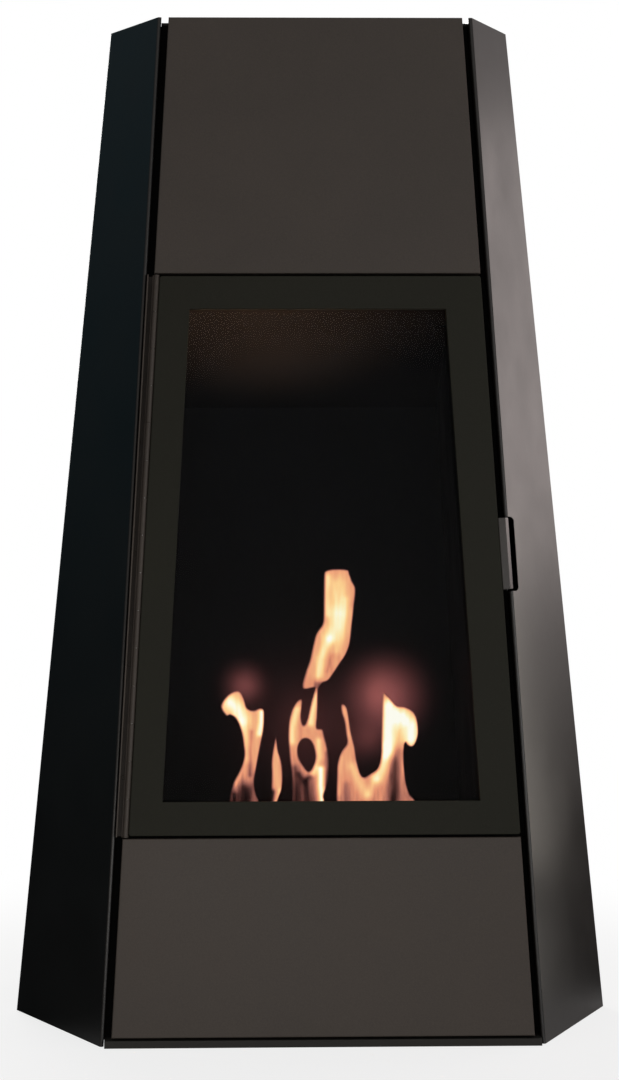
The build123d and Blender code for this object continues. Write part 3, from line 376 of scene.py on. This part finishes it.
# painted shade: black paint on the posts, set near-black so that the shadow gaps they show through look as
# dark as their deep shade
POSTS = powder_coat("post_coat", srgb(9, 9, 9), 0.8, 0.05)
FIREBOX = firebox_paint("firebox_coat", srgb(7, 9, 14))
BURNER = brushed_steel("burner_steel", srgb(190, 187, 180), 0.3, heat_tint=True)
ZINC = zinc_plate("zinc_steel")
GLASS = door_pane("pane_glass")
TAPE = woven_tape("glass_tape", srgb(38, 38, 38))
WOOL = loose_fibre("ceramic_fibre")
PLASTIC = powder_coat("catch_plastic", srgb(28, 28, 28), 0.5, 0.4, grain_size=0.0007, depth=0.00002)
FLAME = flame_gas("flame_gas")

finishes = {
    CASING: ["left_side_casing", "right_side_casing"],
    PANEL: ["upper_front_panel", "lower_front_panel", "hinge_fixed_leaf", "hinge_door_leaf",
            "hinge_foot_screws"],
    HANDLE: ["door_handle"],
    DOOR: ["door_frame"],
    CARCASS: ["base_plate", "top_plate", "back_panel"],
    POSTS: ["left_front_post", "right_front_post", "lower_rail", "upper_rail"],
    FIREBOX: ["left_liner", "right_liner", "firebox_back", "hearth", "baffle", "baffle_brackets"],
    BURNER: ["burner_tank", "burner_plate", "burner_shutter", "shutter_knob"],
    ZINC: ["glass_clips", "catch_strike", "hinge_pin", "back_screws", "casing_screws", "clip_screws",
           "handle_screws", "hinge_door_screws", "liner_screws", "panel_screws"],
    GLASS: ["door_glass"],
    TAPE: ["glass_gasket"],
    WOOL: ["ceramic_wool"],
    PLASTIC: ["catch_magnet"],
}
for finish, names in finishes.items():
    for name in names:
        for material_slot in nodes[name].material_slots:
            material_slot.material = finish

# ------------------------------------------------------------------ camera

camera_data = bpy.data.cameras.new("camera")
camera_data.sensor_width = SENSOR
camera_data.lens = FOCAL_PIXELS / PHOTO_HEIGHT * SENSOR
camera_data.shift_x = (PHOTO_WIDTH / 2 - AXIS_PIXEL[0]) / PHOTO_HEIGHT
camera_data.shift_y = (AXIS_PIXEL[1] - PHOTO_HEIGHT / 2) / PHOTO_HEIGHT
camera = bpy.data.objects.new("camera", camera_data)
camera.location = CAMERA_PLACE
camera.rotation_euler = Euler((radians(90), CAMERA_ROLL, -CAMERA_YAW))
bpy.context.collection.objects.link(camera)
bpy.context.scene.camera = camera


def behind_pixel(u, v, y):
    """Place (x, z) where the sight line through a pixel of the photograph meets the plane at y."""
    ahead = Vector(((u - AXIS_PIXEL[0]) / FOCAL_PIXELS, (AXIS_PIXEL[1] - v) / FOCAL_PIXELS, -1))
    ahead.rotate(camera.rotation_euler)
    place = Vector(CAMERA_PLACE) + ahead * ((y - CAMERA_PLACE[1]) / ahead.y)
    return place.x, place.z


# ------------------------------------------------------------------ flames

# Outlines run up the left side and down the right, in pixels of the photograph, from sill to
# sill. Streaks are (points, radius in pixels, gain): brighter or, with a minus, thinner gas.
FLAMES = {
    "flame_left": {
        "outline": [(228.5, 803), (232.5, 784), (239.5, 770.5), (244, 757), (243, 744), (241, 732),
                    (236, 719), (230, 714.5), (226, 715.5), (220.5, 706.5), (225, 697), (232.5, 691),
                    (239.5, 690.5), (244, 698), (247, 707), (253.5, 709.5), (259.5, 707.5),
                    (263.8, 709.5), (264.4, 719), (263.5, 732), (261, 747), (258, 764), (255, 781),
                    (256, 792), (259.5, 803)],
        "streaks": [([(230, 702), (236, 707), (241, 717)], 8, 0.46),
                    ([(243, 724), (246, 742), (246, 758)], 5, 0.2),
                    ([(261.5, 712), (261.5, 722), (260, 733)], 3.6, 0.5),
                    ([(240, 770), (236, 782)], 3, 0.12),
                    ([(251, 731), (250, 752), (250, 775)], 2.4, -0.2),
                    ([(246, 790), (243, 806)], 9, -0.29),
                    ([(233, 795), (230, 806)], 5, -0.2)],
        "fill": (0.5, 0.28),
    },
    "flame_small": {
        "outline": [(267.5, 803), (270, 790), (271, 774), (271, 761), (273, 749), (276.5, 736),
                    (278.5, 750), (282, 762), (283, 776), (282, 788), (279, 797), (277.5, 803)],
        "streaks": [([(279.5, 790), (278.5, 797), (277, 806)], 3.2, 0.34),
                    ([(276, 744), (276, 764), (277, 784)], 3.4, 0.14),
                    ([(271, 792), (269, 808)], 3.8, -0.42)],
        "fill": (0.42, 0.34),
    },
    "flame_middle": {
        "outline": [(292, 803), (292, 791), (291, 774), (288.5, 754), (287.7, 737), (288.7, 722),
                    (292, 710.5), (297, 702), (302.8, 699.3), (303, 706), (301.8, 717), (303.7, 725),
                    (307, 720.5), (309.5, 710.5), (312, 700.5), (314.7, 690.5), (315.6, 681),
                    (319, 680), (318.5, 694), (318.4, 705.5), (317.8, 717), (317, 727), (320.3, 728),
                    (323, 729), (324.5, 735.5), (327.8, 750.5), (329, 765.5), (328.3, 779),
                    (326.2, 789), (324, 796), (325, 803)],
        "hole": [(298.6, 745.5), (303.6, 739), (309.5, 740.5), (313.6, 749), (314.5, 759), (311, 769),
                 (307.8, 770.3), (302.8, 764), (298.6, 755.5)],
        "streaks": [([(296.5, 710), (292.5, 726), (291.5, 740)], 4.4, 0.32),
                    ([(315, 696), (310, 722)], 4.6, 0.4),
                    ([(299, 774), (304, 781), (310, 777)], 3.4, -0.18),
                    ([(318, 740), (318.5, 756), (313, 772)], 3.4, 0.3),
                    ([(320, 768), (320.5, 785), (323, 806)], 3.2, 0.66),
                    ([(295, 768), (296, 806)], 4, -0.2),
                    ([(326.5, 752), (327, 784)], 2.6, -0.2),
                    ([(306, 786), (307, 806)], 8, -0.25)],
        "fill": (0.42, 0.3),
    },
    "flame_upper": {
        "outline": [(316.2, 688), (313, 687.5), (303.5, 689.2), (301.6, 684), (304.5, 672),
                    (308.6, 660.5), (312, 647), (316, 633.5), (322, 625), (323.5, 617), (323.5, 600),
                    (323.3, 575), (325.3, 570.5), (332, 568.6), (347, 569.2), (349.5, 573.5),
                    (352, 580), (356, 589), (355, 605), (353, 625), (350.5, 643.5), (346.3, 654.5),
                    (338.7, 665.5), (328.7, 679.5), (322, 682.6), (318.6, 688)],
        "streaks": [([(338, 615), (336, 626), (332, 635)], 8, 0.38),
                    ([(328, 640), (319.5, 658), (317.5, 674)], 4.6, 0.34),
                    ([(316.8, 684), (317, 694)], 3.4, -0.25),
                    ([(337, 584), (338, 596), (338.5, 604)], 8, 0.22),
                    ([(327, 577), (326.5, 596), (327, 614)], 3.4, 0.2),
                    ([(345, 600), (343, 632), (337, 650)], 4, 0.16),
                    ([(353, 583), (353, 605)], 4, -0.08),
                    ([(331, 655), (326, 670)], 2.6, -0.08)],
        "fill": (0.5, 0.42),
    },
    "flame_right": {
        "outline": [(336.2, 803), (335.7, 789), (336.2, 775.5), (337, 764), (341.2, 752), (347, 744),
                    (346.2, 734), (344.5, 722), (341, 710.5), (342.2, 703.5), (347.3, 707.5),
                    (349.6, 717), (352, 732), (355.4, 747), (357.4, 762), (362, 775.5), (370.5, 772),
                    (377, 767), (380.5, 755.5), (381.3, 739), (381.8, 717), (381.8, 700.5),
                    (382.5, 691.5), (389, 697), (397, 705.5), (405.5, 707), (414, 712), (418, 720.5),
                    (419, 734), (416, 744), (412, 747.5), (408, 746), (405.8, 744), (404.4, 755),
                    (404.6, 768), (406, 782), (409.5, 793), (415.5, 803)],
        "streaks": [([(388, 706), (389, 728), (387, 748)], 9, 0.56),
                    ([(402, 717), (411, 726), (412, 738)], 9, 0.54),
                    ([(386, 750), (382, 765), (377, 776)], 6, 0.4),
                    ([(344.5, 704), (348, 722), (350, 738)], 3.4, 0.06),
                    ([(341, 758), (338, 776), (337.5, 792)], 3, 0.1),
                    ([(352, 766), (358, 780), (364, 794)], 5, 0.2),
                    ([(373, 778), (368, 792)], 4, 0.2),
                    ([(346, 784), (346, 806)], 3.6, -0.1),
                    ([(396, 752), (393, 775), (393, 806)], 6.5, -0.3),
                    ([(403.4, 748), (403.4, 770), (407.5, 788)], 1.8, 0.1),
                    ([(409, 796), (411, 806)], 4, -0.08)],
        "fill": (0.46, 0.34),
    },
}
SILL_PIXEL = 803                 # lower edge of the window in the photograph
BASE_LEAN = 0.86                 # how far the hidden foot of a flame draws in towards its middle
EDGE_PIXELS = 2.6                # soft edge of a flame

# Glow that the flames throw on the back wall: centre in pixels of the photograph, distance of
# the lamp from the wall, watts, and cone in degrees
GLOWS = {
    "glow_left": ((245, 686), 0.026, 0.9, 115),
    "glow_right": ((385, 697), 0.055, 5.3, 105),
    "glow_low": ((367, 738), 0.03, 0.55, 120),
    "glow_middle": ((310, 728), 0.07, 1.6, 140),
}
GLOW_COLOUR = (1, 0.26, 0.2)
SPOT_RADIUS = 0.01
FLAME_LIGHT_RADIUS = 0.05
PIXEL_SIZE = (BURNER_Y - CAMERA_PLACE[1]) / FOCAL_PIXELS


def smooth_loop(points, steps=5):
    """Closed Catmull-Rom curve through the points."""
    loop = []
    count = len(points)
    for index in range(count):
        before, start, end, after = (Vector(points[(index + offset) % count]) for offset in (-1, 0, 1, 2))
        for step in range(steps):
            t = step / steps
            linear = (end - before) * t
            square = (2 * before - 5 * start + 4 * end - after) * t ** 2
            cube = (3 * start - before - 3 * end + after) * t ** 3
            loop.append(0.5 * (2 * start + linear + square + cube))
    return loop


def is_inside(point, loop):
    inside = False
    for a, b in zip(loop, loop[1:] + loop[:1]):
        if (a.y > point.y) != (b.y > point.y):
            if point.x < (b.x - a.x) * (point.y - a.y) / (b.y - a.y) + a.x:
                inside = not inside
    return inside


def to_segments(point, points, closed=False):
    """Shortest distance from a point to a line through points."""
    pairs = list(zip(points, points[1:] + points[:1])) if closed else list(zip(points, points[1:]))
    shortest = 1e9
    for a, b in pairs:
        run = b - a
        share = max(0.0, min(1.0, (point - a).dot(run) / max(run.length_squared, 1e-12)))
        shortest = min(shortest, (point - a - run * share).length)
    return shortest


def ease(value):
    value = max(0.0, min(1.0, value))
    return value * value * (3 - 2 * value)


def gas_sheet(name, loops, heat_at, bow):
    """Closed, lens-thick mesh that fills loops of (x, z), with a heat value at each point."""
    outer = loops[0]
    low = Vector((min(p.x for p in outer), min(p.y for p in outer)))
    high = Vector((max(p.x for p in outer), max(p.y for p in outer)))
    points = []
    edges = []
    for loop in loops:
        first = len(points)
        points += loop
        edges += [(first + i, first + (i + 1) % len(loop)) for i in range(len(loop))]
    rim_count = len(points)
    rows = int((high.y - low.y) / ROW_STEP) + 1
    columns = int((high.x - low.x) / FLAME_STEP) + 1
    for row in range(rows):
        for column in range(columns):
            shift = 0.5 * (row % 2)
            point = low + Vector(((column + shift) * FLAME_STEP, row * ROW_STEP))
            if not is_inside(point, outer) or any(is_inside(point, hole) for hole in loops[1:]):
                continue
            if min(to_segments(point, loop, True) for loop in loops) > FLAME_STEP * 0.55:
                points.append(point)
    corners, _, faces, origins, _, _ = geometry.delaunay_2d_cdt(points, edges, [], 0, 1e-7)
    rim = {index for index, origin in enumerate(origins) if any(number < rim_count for number in origin)}
    kept = []
    for face in faces:
        middle = sum((corners[i] for i in face), Vector((0, 0))) / len(face)
        if is_inside(middle, outer) and not any(is_inside(middle, hole) for hole in loops[1:]):
            kept.append(face)
    mesh = bpy.data.meshes.new(name)
    built = bmesh.new()
    heat_layer = built.verts.layers.float.new("warmth")
    sides = []
    for side in (-1, 1):
        made = {}
        for index in sorted({i for face in kept for i in face}):
            point = corners[index]
            if side == 1 and index in rim:
                made[index] = sides[0][index]
                continue
            inward = 0.0 if index in rim else min(to_segments(point, loop, True) for loop in loops)
            share = min(1.0, inward / FLAME_ROUND)
            thick = FLAME_HALF * sqrt(1 - (1 - share) ** 2)
            made[index] = built.verts.new((point.x, BURNER_Y + bow(point) + side * thick, point.y))
            made[index][heat_layer] = heat_at(point, inward)
        sides.append(made)
    for side, made in zip((-1, 1), sides):
        for face in kept:
            corner_points = [made[i] for i in face]
            first, second, third = (corner.co for corner in corner_points[:3])
            if (second - first).cross(third - first).y * side < 0:
                corner_points.reverse()
            if built.faces.get(corner_points) is None:
                built.faces.new(corner_points)
    for face in built.faces:
        face.smooth = True
    built.to_mesh(mesh)
    built.free()
    mesh.materials.append(FLAME)
    made_object = bpy.data.objects.new(name, mesh)
    bpy.context.collection.objects.link(made_object)
    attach(made_object, "hood")
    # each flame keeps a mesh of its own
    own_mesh(made_object)
    return made_object


def flame(name, outline, streaks, fill, hole=None):
    """One flame: its outline in the photograph, carried down to the slot below the sill."""
    def place(pixel):
        return Vector(behind_pixel(pixel[0], pixel[1], BURNER_Y))

    points = [place(pixel) for pixel in outline]
    if outline[0][1] >= SILL_PIXEL:
        middle = (points[0].x + points[-1].x) / 2
        feet = [Vector((middle + (end.x - middle) * BASE_LEAN, RIM_TOP)) for end in (points[0], points[-1])]
        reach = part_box("burner_plate")[1].x * 0.6
        for foot in feet:
            foot.x = max(-reach, min(reach, foot.x))
        points = [feet[0]] + points + [feet[1]]
    loops = [smooth_loop(points)]
    if hole:
        loops.append(smooth_loop([place(pixel) for pixel in hole]))
    lines = [([place(pixel) for pixel in pixels], radius * PIXEL_SIZE, gain)
             for pixels, radius, gain in streaks]
    top = max(point.y for point in points)
    bottom = min(point.y for point in points)
    phase = len(name) * 1.7

    def heat_at(point, inward):
        height = (point.y - bottom) / (top - bottom)
        heat = fill[1] + (fill[0] - fill[1]) * ease(height * 1.6)
        for line, radius, gain in lines:
            heat += gain * exp(-(to_segments(point, line) / radius) ** 2)
        heat += FLAME_FLICKER * noise.noise(Vector((point.x * 300, phase, point.y * 50)))
        return max(0.02, min(1.0, heat)) * ease(inward / (EDGE_PIXELS * PIXEL_SIZE) + 0.04)

    def bow(point):
        sway = FLAME_BOW * sin(2 * pi * (point.y / FLAME_BOW_LENGTH + phase))
        return sway + FLAME_RIPPLE * sin(2 * pi * (point.x / FLAME_RIPPLE_LENGTH + phase))

    return gas_sheet(name, loops, heat_at, bow)


for name, form in FLAMES.items():
    flame(name, **form)

# ------------------------------------------------------------------ floor, backdrop and light


def from_eye(tree):
    """1 for the rays that show the backdrop as it is: straight from the camera or through glass.

    Light that leaves the firebox through the glass is a transmitted ray too, but has bounced first.
    """
    rays = node(tree, "LightPath")
    looks = maths(tree, "MAXIMUM", rays.outputs["Is Camera Ray"], rays.outputs["Is Transmission Ray"])
    return maths(tree, "MULTIPLY", looks, maths(tree, "LESS_THAN", rays.outputs["Diffuse Depth"], 0.5))


bpy.ops.mesh.primitive_grid_add(x_subdivisions=2, y_subdivisions=2, size=FLOOR_SIZE)
floor = bpy.context.object
floor.name = "floor"
floor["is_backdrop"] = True
floor_paint = bpy.data.materials.new("floor_paint")
floor_paint.use_nodes = True
tree = floor_paint.node_tree
tree.nodes.clear()
matt = node(tree, "BsdfDiffuse")
position = node(tree, "NewGeometry").outputs["Position"]
across = node(tree, "SeparateXYZ")
feed(tree, across.inputs[0], position)
towards_left = maths(tree, "ADD", maths(tree, "MULTIPLY", across.outputs["X"], FLOOR_LEFT[0]),
                     maths(tree, "MULTIPLY", across.outputs["Y"], FLOOR_LEFT[1]))
from_middle = node(tree, "VectorMath", operation="LENGTH")
feed(tree, from_middle.inputs[0], position)
far_off = from_middle.outputs["Value"]
far_share = maths(tree, "MULTIPLY", spread(tree, far_off, 0, 1, *FLOOR_DARK_FAR, smooth=True),
                  spread(tree, across.outputs["Y"], 0, 1, *FLOOR_DARK_BACK, smooth=True))
left_share = spread(tree, towards_left, 0, 1, *FLOOR_DARK_LEFT, smooth=True)
dark_share = maths(tree, "MAXIMUM", left_share, far_share)
mirrored = blend_colours(tree, dark_share, FLOOR_PALE, FLOOR_DARK)
feed(tree, matt.inputs["Color"], blend_colours(tree, from_eye(tree), mirrored, FLOOR_PALE))
white = node(tree, "Emission")
white_share = spread(tree, far_off, FLOOR_NEAR_WHITE, 1, *FLOOR_WHITE, smooth=True)
mixed = node(tree, "MixShader")
feed(tree, mixed.inputs[0], maths(tree, "MULTIPLY", white_share, from_eye(tree)))
feed(tree, mixed.inputs[1], matt.outputs[0])
feed(tree, mixed.inputs[2], white.outputs[0])
feed(tree, node(tree, "OutputMaterial").inputs["Surface"], mixed.outputs[0])
floor.data.materials.append(floor_paint)

# The backdrop is white to the eye. What lights the hood and is mirrored in it is bright to the
# right, above, in front and behind, and dark on the left, as in the photograph.
world = bpy.data.worlds.new("studio")
bpy.context.scene.world = world
world.use_nodes = True
tree = world.node_tree
tree.nodes.clear()
towards = node(tree, "TexCoord").outputs["Generated"]


def facing(direction, start, end):
    """How far a ray heads in a direction, from 0 to 1."""
    product = node(tree, "VectorMath", operation="DOT_PRODUCT")
    feed(tree, product.inputs[0], towards)
    product.inputs[1].default_value = Vector(direction).normalized()
    return spread(tree, product.outputs["Value"], 0, 1, start, end, smooth=True)


level = (0, 0, 0, 1)
for direction, start, end, colour in STUDIO:
    patch = node(tree, "Mix", data_type="RGBA", blend_type="ADD")
    feed(tree, patch.inputs["Factor"], facing(direction, start, end))
    feed(tree, patch.inputs[6], level)
    feed(tree, patch.inputs[7], (*colour, 1))
    level = patch.outputs[2]
is_glossy = node(tree, "LightPath").outputs["Is Glossy Ray"]
mirrors_white = maths(tree, "MULTIPLY", is_glossy, facing(*BEHIND))
shows_white = maths(tree, "MAXIMUM", from_eye(tree), mirrors_white)
backdrop = node(tree, "Background")
feed(tree, backdrop.inputs["Color"], blend_colours(tree, shows_white, level, (1, 1, 1, 1)))
feed(tree, node(tree, "OutputWorld").inputs["Surface"], backdrop.outputs[0])


def lamp(name, kind, place, aim, watts, colour):
    data = bpy.data.lights.new(name, kind)
    data.energy = watts
    data.color = colour
    made = bpy.data.objects.new(name, data)
    made.location = place
    made.rotation_euler = (Vector(aim) - Vector(place)).to_track_quat("-Z", "Y").to_euler()
    made.visible_camera = False
    made.visible_transmission = False
    bpy.context.collection.objects.link(made)
    return made


def panel(name, place, aim, watts, colour, size, lights_only=None):
    """Panel of light. One that stands close by lights one piece only, so that the floor has no spot."""
    made = lamp(name, "AREA", place, aim, watts, colour)
    made.data.shape = "RECTANGLE"
    made.data.size, made.data.size_y = size
    if lights_only:
        lit = bpy.data.collections.new(name + "_lights")
        lit.objects.link(nodes[lights_only])
        made.light_linking.receiver_collection = lit


panel("side_panel", (1.55, 0.75, 0.95), (0.3, 0, 0.75), 3.9, (1, 0.87, 0.84), (0.9, 0.8))
panel("low_panel", (0.5, -0.03, 0.39), (0.24, -0.14, 0.39), 0.42, (1, 0.92, 0.82), (0.08, 0.45),
      lights_only="right_side_casing")
panel("corner_panel", (0.48, -0.08, 0.08), (0.24, -0.165, 0.08), 0.07, (1, 0.94, 0.86), (0.07, 0.12),
      lights_only="right_side_casing")
panel("rear_panel", (-0.9, 2.5, 1.3), (-0.2, 0.1, 0.6), 45, (1, 0.98, 0.95), (1.2, 1.2))
panel("foot_panel", (-0.2, -0.9, 0.16), (-0.06, 0, 0.2), 0.95, (1, 0.94, 0.88), (0.5, 0.2))
panel("front_panel", (2.1, -3.35, 0.35), (0, 0, 0.5), 45, (1, 1, 1), (1.6, 1.6))


def spot(name, place, aim, watts, cone, colour):
    made = lamp(name, "SPOT", place, aim, watts, colour)
    made.data.spot_size = radians(cone)
    made.data.spot_blend = 1
    made.data.shadow_soft_size = SPOT_RADIUS
    return made


spot("baffle_glow", (-0.05, -0.08, 0.52), (-0.05, -0.09, 0.82), 9.5, 85, (1, 0.52, 0.25))
wall_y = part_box("firebox_back")[0].y
for name, (centre, gap, watts, cone) in GLOWS.items():
    x, z = behind_pixel(*centre, wall_y)
    glow = spot(name, (x, wall_y - gap, z), (x, wall_y, z), watts, cone, GLOW_COLOUR)
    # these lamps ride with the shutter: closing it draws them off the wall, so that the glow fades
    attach(glow, "shutter")
flame_light = lamp("flame_light", "POINT", (0.01, BURNER_Y, 0.36), (0, 0, 0), 0.1, (1, 0.5, 0.35))
flame_light.data.shadow_soft_size = FLAME_LIGHT_RADIUS

bpy.context.scene.view_settings.view_transform = "Standard"

sizes = {"cad": cad_bounds, "visual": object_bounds()}
{name: [list(corner) for corner in pair] for name, pair in sizes.items()}
